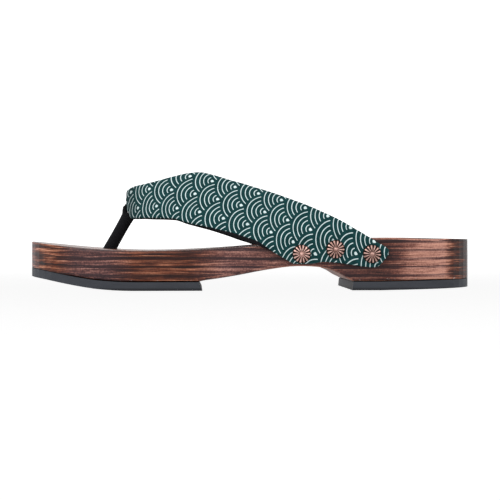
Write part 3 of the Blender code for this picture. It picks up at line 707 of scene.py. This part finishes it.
def fan_lines(back, away):
    """White where a fan has a ring or its dot."""
    lines = 0.0
    for radius in RING_RADII:
        band = cloth.span(cloth.math("ABSOLUTE", cloth.less(away, radius)), *RING_LINE)
        lines = cloth.math("MAXIMUM", lines, band)
    lines = cloth.times(lines, cloth.span(back, -0.03, 0.02))
    return cloth.math("MAXIMUM", lines, cloth.span(away, DOT, DOT - 0.03))


# Two lattices of fans, half a fan apart both ways. Where both reach, the fan whose dot lies
# further toward the heel is on top.
back_a, away_a = fan_layer(0.0)
back_b, away_b = fan_layer(0.5)
on_a = cloth.math("LESS_THAN", away_a, FAN_EDGE)
on_b = cloth.math("LESS_THAN", away_b, FAN_EDGE)
a_over_b = cloth.math("GREATER_THAN", back_a, back_b)
take_a = cloth.times(on_a, cloth.math("MAXIMUM", a_over_b, cloth.less(1.0, on_b)))
take_b = cloth.times(on_b, cloth.less(1.0, take_a))
white = cloth.add(cloth.times(fan_lines(back_a, away_a), take_a),
                  cloth.times(fan_lines(back_b, away_b), take_b))

# Threads, and their small changes of tone
thread = cloth.node("UVMap", {"uv_map": "thread"}).outputs[0]
thread_u, thread_v, _ = cloth.xyz(thread)
warp = cloth.math("SINE", cloth.times(thread_u, 2 * math.pi / THREAD_PITCH))
weft = cloth.math("SINE", cloth.times(thread_v, 2 * math.pi / THREAD_PITCH))
weave = cloth.times(warp, weft)
thread_tone = cloth.noise(cloth.stretched(thread, (300.0, 300.0, 1.0)), 1.0, 3.0, 0.6)
green = cloth.ramp(thread_tone, [(0.3, DEEP_GREEN), (0.7, GREEN)])
pale = cloth.ramp(thread_tone, [(0.3, GREY_WHITE), (0.7, PALE_WHITE)])
dyed = cloth.mix(white, green, pale)
dyed = cloth.mix(cloth.span(weave, -0.2, -1.0, 0.0, 0.35), dyed, THREAD_SHADE)

# The seam where the two halves meet at the nose, and painted shade on the cloth gathered round it
cloth_x, cloth_y, _ = cloth.xyz(cloth.place())
seam = cloth.span(cloth.math("ABSOLUTE", cloth_y), *SEAM_EDGES)
seam = cloth.times(seam, cloth.math("LESS_THAN", cloth_x, STRAP_FRONT + STRAP_NOSE))
dyed = cloth.mix(seam, dyed, SEAM_GREEN)
# Painted shade: the gathered cloth at the nose is darkened where it turns from the light
nose_shade = cloth.span(cloth_x, STRAP_FRONT + NOSE_SHADE_SPAN[0], STRAP_FRONT + NOSE_SHADE_SPAN[1], 0.0, 0.40)
dyed = cloth.mix(nose_shade, dyed, NOSE_SHADE_GREEN)
cloth.set(Base_Color=dyed, Roughness=0.82, Specular_IOR_Level=0.10, Sheen_Weight=0.02,
          Sheen_Roughness=0.45, Normal=cloth.bump(weave, 0.25, 0.00012))

strap_print = skin_mesh("strap_print", print_grid, False, cloth.material)
mesh = strap_print.data
print_map = mesh.uv_layers.new(name="print")
thread_map = mesh.uv_layers.new(name="thread")
along_length = lengths_along(print_grid[:, PRINT_COLUMNS // 2])
lie_rows = [[read_curve(PRINT_LIE, column, x) for column in (1, 2, 3, 4)] for x in station_x]
for loop in mesh.loops:
    i, j = divmod(loop.vertex_index, PRINT_COLUMNS)
    start_fans, tilt, rows_at_top, row_height = lie_rows[i]
    lower = print_down[i][j]
    print_map.data[loop.index].uv = (start_fans + tilt * lower, rows_at_top + lower / row_height)
    thread_map.data[loop.index].uv = (along_length[i], lower)
bpy.ops.object.select_all(action="DESELECT")
bpy.context.view_layer.objects.active = strap_print
strap_print.select_set(True)
cloth_wall = strap_print.modifiers.new("cloth", "SOLIDIFY")
cloth_wall.thickness = CLOTH_THICKNESS
cloth_wall.offset = -1.0
bpy.ops.object.modifier_apply(modifier=cloth_wall.name)
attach(strap_print, "root")
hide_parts("strap")


# Toe post
# A cord of rolled black cloth that comes up through the base, leans back under the strap's front
# and is split there into a flat loop, which goes round the strap's nose and through it.

POST_DIAMETER = 0.0076
POST_FROM_TOE = 0.0458        # where it leaves the footbed
LOOP_THICKNESS = 0.0017
LOOP_INNER_GAP = 0.0009       # the strap's front wall is curved, the loop is straight
LOOP_WIDTH = 0.0056
LOOP_TOP = 0.0505
TOP_WIDTH = LOOP_WIDTH * 0.9  # the flat cord narrows where it turns over the nose
END_WIDTH = LOOP_WIDTH * 0.8
OVER_WIDTH = LOOP_WIDTH * 0.85
POST_WAIST = 0.05             # the cord is thinner by this share halfway up
POST_GRAIN = 0.00028          # its skin's smallest step
UP = Vector((0.0, 0.0, 1.0))
BACKWARD = Vector((1.0, 0.0, 0.0))

post_x = TOE_TIP + POST_FROM_TOE
loop_front = STRAP_FRONT - FIT_GAP - LOOP_THICKNESS
loop_back = STRAP_FRONT + STRAP_WALL + LOOP_INNER_GAP + LOOP_THICKNESS
nose_bottom = strap_point(STRAP_FRONT, 0.0).z


def oval_tube(name, stations, sides=28):
    """A closed tube; a station is a place, the tube's way there, its thickness and its width."""
    rows = []
    across_way = Vector((0.0, 1.0, 0.0))
    for place, way, thickness, across_width in stations:
        thick_way = way.normalized().cross(across_way).normalized()
        for k in range(sides):
            angle = 2 * math.pi * k / sides
            rows.append(place + thick_way * (math.cos(angle) * thickness / 2)
                        + across_way * (math.sin(angle) * across_width / 2))
    grid = np.array(rows).reshape(len(stations), sides, 3)
    return skin_mesh(name, grid, True, lining_cloth.material)


def joined(parts, name):
    """Parts made one object, with its place in its mesh."""
    bpy.ops.object.select_all(action="DESELECT")
    for part in parts:
        part.select_set(True)
    bpy.context.view_layer.objects.active = parts[0]
    bpy.ops.object.transform_apply(location=True, rotation=True, scale=True)
    bpy.ops.object.join()
    whole = bpy.context.object
    whole.name = name
    return whole


def melt(piece, grain_size, rounds):
    """Make one skin of the active piece's overlapping parts, and smooth it in rounds."""
    skin = piece.modifiers.new("skin", "REMESH")
    skin.mode = "VOXEL"
    skin.voxel_size = grain_size
    bpy.ops.object.modifier_apply(modifier=skin.name)
    even = piece.modifiers.new("even", "SMOOTH")
    even.factor = 0.5
    even.iterations = rounds
    bpy.ops.object.modifier_apply(modifier=even.name)
    piece.data.shade_smooth()


def flat_cord(x, z, thickness, width=LOOP_WIDTH, way=UP):
    """A station of the loop in the sandal's middle."""
    return Vector((x, 0.0, z)), way, thickness, width


# The round cord, from inside the base to the strap's nose
post_foot = Vector((post_x, 0.0, footbed_height(post_x)))
post_head = Vector(((loop_front + loop_back) / 2 - 0.0007, 0.0, nose_bottom - 0.0030))
lean_way = (post_head - post_foot).normalized()
round_cord = [
    (post_foot + Vector((-0.0006, 0.0, -0.0115)), UP, POST_DIAMETER, POST_DIAMETER),
    (post_foot + Vector((-0.0005, 0.0, -0.0070)), UP + BACKWARD * 0.1, POST_DIAMETER, POST_DIAMETER),
    (post_foot - lean_way * 0.0030, lean_way, POST_DIAMETER, POST_DIAMETER),
]
for share in (0.12, 0.25, 0.4, 0.55, 0.7, 0.82):
    waist = POST_DIAMETER * (1.0 - POST_WAIST * math.sin(math.pi * share))
    round_cord.append((post_foot.lerp(post_head, share), lean_way, waist, waist))
round_cord += [
    (post_foot.lerp(post_head, 0.92), lean_way, POST_DIAMETER * 1.00, POST_DIAMETER * 0.95),
    (post_head, lean_way, POST_DIAMETER * 1.05, POST_DIAMETER * 0.88),
    (post_head + UP * 0.0022, UP, POST_DIAMETER * 0.85, POST_DIAMETER * 0.80),
]

# The flat loop: up the front of the nose, up behind it, and over it
loop_rise = [
    flat_cord(loop_front + 0.0022, nose_bottom - 0.0065, 0.0042),
    flat_cord(loop_front + 0.0016, nose_bottom - 0.0030, 0.0034),
    flat_cord(loop_front + 0.0015, nose_bottom + 0.0005, 0.0033),
    flat_cord(loop_front + 0.0016, nose_bottom + 0.0030, 0.0026),
    flat_cord(loop_front + 0.0018, LOOP_TOP - 0.0014, 0.0016, TOP_WIDTH),
    flat_cord(loop_front + 0.0021, LOOP_TOP - 0.0002, 0.0009, END_WIDTH),
]
loop_fall = [
    flat_cord(loop_back - 0.0042, nose_bottom - 0.0050, 0.0036),
    flat_cord(loop_back - 0.0026, nose_bottom - 0.0020, 0.0028),
    flat_cord(loop_back - 0.0010, nose_bottom + 0.0014, 0.0018),
    flat_cord(loop_back - 0.0009, LOOP_TOP - 0.0012, 0.0016, TOP_WIDTH),
    flat_cord(loop_back - 0.0014, LOOP_TOP - 0.0002, 0.0010, END_WIDTH),
]
loop_over = [
    flat_cord(loop_front + 0.0018, LOOP_TOP - 0.0010, 0.0014, OVER_WIDTH, BACKWARD),
    flat_cord(loop_back - 0.0006, LOOP_TOP - 0.0010, 0.0016, OVER_WIDTH, BACKWARD),
]
cords = [oval_tube("post_part", stations) for stations in (round_cord, loop_rise, loop_fall, loop_over)]
toe_post = joined(cords, "toe_post_cloth")
melt(toe_post, POST_GRAIN, rounds=6)
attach(toe_post, "root")
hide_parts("toe_post")


# Nails
# Six copper nails with chrysanthemum heads, pressed from sheet and browned in their grooves,
# three through each end of the strap into the side of the base.

PETALS = 14
HEAD_RADIUS = 0.0051          # to the petals' tips
DISC_RIM = 0.0002             # the disc under them is this much wider
DISC_THICKNESS = 0.0006
BOSS_RADIUS = 0.00110
BOSS_HEIGHT = 0.00145         # of its middle
BOSS_FLATNESS = 0.62
PETAL_LENGTH = 0.0039
PETAL_WIDTH = 0.00185
PETAL_THICKNESS = 0.00125
PETAL_HEIGHT = 0.00115        # of its middle
PETAL_FLARE = 0.55            # wider toward its tip
PETAL_TILT = 11.0             # degrees, down toward its tip
HEAD_GRAIN = 0.00013          # the head's smallest step
HEAD_SINK = 0.00015           # how far a head presses into the cloth
HEAD_TURN = 0.37              # each next head is turned by this angle, in radians
FIRST_BROWNING = 0.05
MORE_BROWNING = 0.09          # for each next nail toward the heel
GROOVE_BROWN_AND_SHADOW = (0.020, 0.010, 0.008)
DULL_COPPER = (0.34, 0.180, 0.145)
BRIGHT_COPPER = (0.84, 0.54, 0.470)

bpy.ops.object.select_all(action="DESELECT")
bpy.ops.mesh.primitive_cylinder_add(vertices=56, radius=HEAD_RADIUS + DISC_RIM, depth=DISC_THICKNESS,
                                    location=(0.0, 0.0, DISC_THICKNESS / 2))
head_parts = [bpy.context.object]
for petal in range(PETALS):
    turn = 2 * math.pi * (petal + 0.5) / PETALS
    bpy.ops.mesh.primitive_uv_sphere_add(segments=20, ring_count=12, radius=0.5)
    leaf = bpy.context.object
    bpy.ops.object.mode_set(mode="EDIT")
    bpy.ops.mesh.select_all(action="SELECT")
    bpy.ops.transform.resize(value=(PETAL_LENGTH, PETAL_WIDTH, PETAL_THICKNESS))
    bpy.ops.object.mode_set(mode="OBJECT")
    for vertex in leaf.data.vertices:
        vertex.co.y *= 1.0 + PETAL_FLARE * vertex.co.x / PETAL_LENGTH
    leaf.rotation_euler = (0.0, math.radians(PETAL_TILT), turn)
    reach = HEAD_RADIUS - PETAL_LENGTH / 2
    leaf.location = (math.cos(turn) * reach, math.sin(turn) * reach, PETAL_HEIGHT)
    bpy.ops.object.transform_apply(location=True, rotation=True, scale=True)
    head_parts.append(leaf)
bpy.ops.mesh.primitive_uv_sphere_add(segments=28, ring_count=14, radius=BOSS_RADIUS,
                                     location=(0.0, 0.0, BOSS_HEIGHT))
boss = bpy.context.object
boss.scale = (1.0, 1.0, BOSS_FLATNESS)
head_parts.append(boss)
head = joined(head_parts, "nail_head")
melt(head, HEAD_GRAIN, rounds=3)

# The browning left in the grooves between petals and round the boss, and painted shadow low on the disc
# where the head meets the cloth
browning_and_shadow_map = head.data.attributes.new("browning_and_shadow", "FLOAT", "POINT")
for vertex in head.data.vertices:
    radius = math.hypot(vertex.co.x, vertex.co.y)
    share = (math.atan2(vertex.co.y, vertex.co.x) / (2 * math.pi) * PETALS) % 1.0
    from_crest = abs(share - 0.5) * 2
    grooved = smooth_step((from_crest - 0.28) / 0.36) * smooth_step((radius - 0.0012) / 0.0006)
    collar = math.exp(-((radius - 0.00150) / 0.00028) ** 2)
    # Painted shadow: the disc's low rim is darkened like the shade between the head and the cloth
    low = smooth_step((0.0010 - vertex.co.z) / 0.0004)
    browning_and_shadow_map.data[vertex.index].value = min(1.0, max(grooved, 0.5 * collar, low))

copper = Shader("browned_copper")
copper_tone = copper.noise(copper.place(), 620.0, 3.0, 0.6)
bright = copper.ramp(copper_tone, [(0.32, DULL_COPPER), (0.68, BRIGHT_COPPER)])
browning_and_shadow = copper.node("Attribute", {"attribute_name": "browning_and_shadow"}).outputs["Fac"]
copper.set(Base_Color=copper.mix(browning_and_shadow, bright, GROOVE_BROWN_AND_SHADOW), Metallic=0.9,
           Roughness=copper.span(browning_and_shadow, 0.0, 1.0, 0.27, 0.7))
head.data.materials.clear()
head.data.materials.append(copper.material)

for side, side_name in ((-1, "near"), (1, "far")):
    for number, (along, up_share) in enumerate(STUD_PLACES, start=1):
        x = STRAP_FRONT + along * STRAP_LENGTH
        turn = math.atan2(strap_side(x + STRAP_WALL) - strap_side(x - STRAP_WALL), 2 * STRAP_WALL)
        outward = Vector((-math.sin(turn), side * math.cos(turn), 0.0))
        place = Vector((x, side * strap_side(x), up_share * footbed_height(x)))
        place += outward * (FIT_GAP - HEAD_SINK)
        stud = head.copy()
        stud.data = head.data.copy()
        stud.name = f"stud_{side_name}_{number}_head"
        bpy.context.scene.collection.objects.link(stud)
        for worn in stud.data.attributes["browning_and_shadow"].data:
            worn.value = min(1.0, worn.value + FIRST_BROWNING + MORE_BROWNING * (number - 1))
        facing = outward.to_track_quat("Z", "Y").to_matrix().to_4x4()
        spin = Matrix.Rotation(HEAD_TURN * number + side, 4, "Z")
        stud.data.transform(Matrix.Translation(place) @ facing @ spin)
        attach(stud, "root")
        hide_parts(f"stud_{side_name}_{number}")
bpy.data.objects.remove(head)


# Studio
# A round pale floor whose rim rises out of sight, a soft light over the toe on the camera's side, a
# weaker one over the heel, and a wide one above.

# Radius and height of the floor's rings
FLOOR_RINGS = [
    (2.40, 0.00),
    (2.75, 0.05),
    (3.05, 0.20),
    (3.25, 0.45),
    (3.35, 0.80),
    (3.40, 2.60),
]
FLOOR_SIDES = 96
FLOOR_GREY = (0.40, 0.40, 0.40)
WHITE = (1.0, 1.0, 1.0)

floor_points = []
for radius, height in FLOOR_RINGS:
    for k in range(FLOOR_SIDES):
        angle = 2 * math.pi * k / FLOOR_SIDES
        floor_points.append((math.cos(angle) * radius, math.sin(angle) * radius, height))
floor_faces = [tuple(range(FLOOR_SIDES))]
for lower in range(0, FLOOR_SIDES * (len(FLOOR_RINGS) - 1), FLOOR_SIDES):
    upper = lower + FLOOR_SIDES
    for k in range(FLOOR_SIDES):
        n = (k + 1) % FLOOR_SIDES
        floor_faces.append((lower + k, lower + n, upper + n, upper + k))
floor = bpy.data.objects.new("floor", bpy.data.meshes.new("floor"))
floor.data.from_pydata(floor_points, [], floor_faces)
floor.data.shade_smooth()
bpy.context.scene.collection.objects.link(floor)
paper = Shader("studio_paper")
paper.set(Base_Color=FLOOR_GREY, Roughness=0.95, Specular_IOR_Level=0.0, Emission_Color=WHITE,
          Emission_Strength=0.94)
floor.data.materials.append(paper.material)

# Soft lights: name, azimuth from the side with the camera, elevation, distance, size and power
SOFTBOXES = [
    ("key", -40.0, 42.0, 1.6, 0.9, 8.0),
    ("fill", 50.0, 25.0, 1.8, 1.0, 2.0),
    ("top", 0.0, 84.0, 1.7, 1.4, 5.0),
]
for name, azimuth, elevation, distance, size, power in SOFTBOXES:
    bpy.ops.object.light_add(type="AREA")
    light = bpy.context.object
    light.name = name
    light.data.size = size
    light.data.energy = power
    a, e = math.radians(azimuth), math.radians(elevation)
    away = Vector((math.sin(a) * math.cos(e), -math.cos(a) * math.cos(e), math.sin(e)))
    light.location = away * distance
    light.rotation_mode = "QUATERNION"
    light.rotation_quaternion = away.to_track_quat("Z", "Y")

world = bpy.data.worlds.new("pale")
bpy.context.scene.world = world
world.use_nodes = True
sky = world.node_tree.nodes["Background"].inputs
sky["Color"].default_value = (*WHITE, 1.0)
sky["Strength"].default_value = 0.9
bpy.context.scene.view_settings.view_transform = "Standard"

LENS = 105.88
CAMERA_DISTANCE = 0.884
CAMERA_HEIGHT = 0.0311
CAMERA_AZIMUTH = -2.13        # degrees, toward the toe
CAMERA_TILT = -0.5415         # degrees, down
CAMERA_PAN = 0.0097

bpy.ops.object.camera_add()
camera = bpy.context.object
camera.data.lens = LENS
camera.data.sensor_width = 36.0
camera_turn = math.radians(CAMERA_AZIMUTH)
camera.location = Vector((math.sin(camera_turn), -math.cos(camera_turn), 0.0)) * CAMERA_DISTANCE
camera.location.z = CAMERA_HEIGHT
camera.rotation_euler = (math.radians(90.0 + CAMERA_TILT), 0.0, camera_turn + math.radians(CAMERA_PAN))
bpy.context.scene.camera = camera
